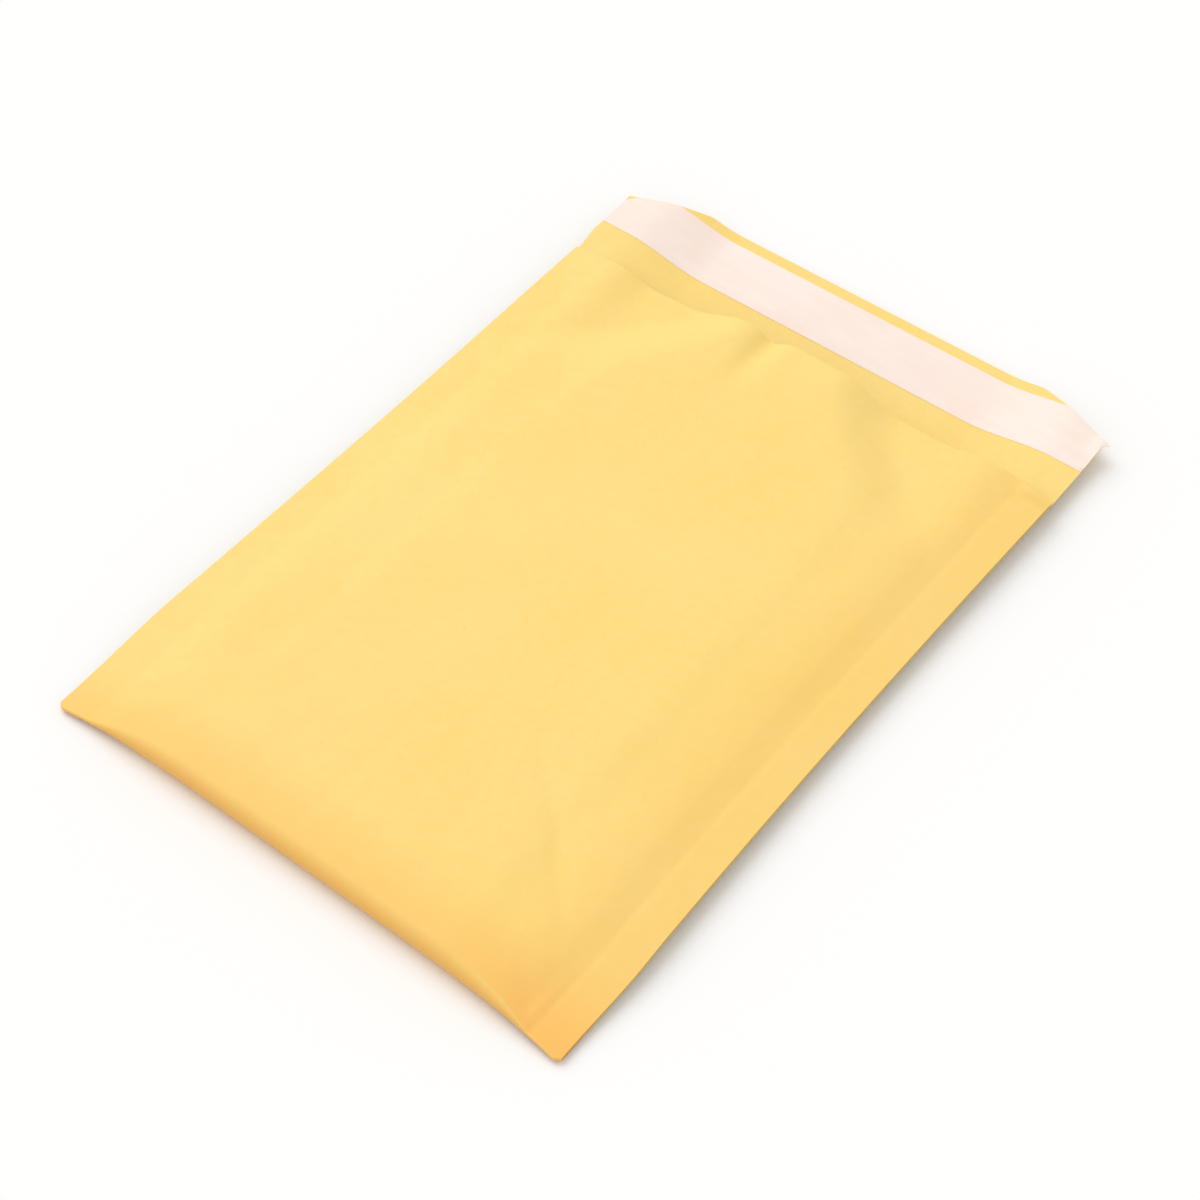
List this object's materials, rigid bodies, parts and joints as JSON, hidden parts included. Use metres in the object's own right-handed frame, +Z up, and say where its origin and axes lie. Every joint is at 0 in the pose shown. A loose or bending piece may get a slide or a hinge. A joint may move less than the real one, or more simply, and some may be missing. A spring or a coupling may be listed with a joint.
{
  "type": "padded envelope",
  "caption": "Padded paper mailing envelope lying open, with a bubble-film lining, a cut-cornered flap and a covered glue strip.",
  "frame": {"origin": "on the surface that the envelope lies on, under the middle of its overall box", "axes": "+Y from the bottom fold to the flap, +Z up through the front panel, +X to the right seen from the front panel with the flap at the top"},
  "size_m": [0.1824, 0.2701, 0.0123],
  "materials": {
    "envelope_paper": "smooth golden-yellow wrapping paper, matt",
    "bubble_film": "clear soft polythene bubble film",
    "clear_glue": "clear tacky glue",
    "release_paper": "pale pink coated release paper, slight gloss"
  },
  "bodies": {
    "root": {"outer_paper": "envelope_paper", "bubble_lining": "bubble_film", "glue_band": "clear_glue", "peel_strip": "release_paper"}
  },
  "joints": []
}
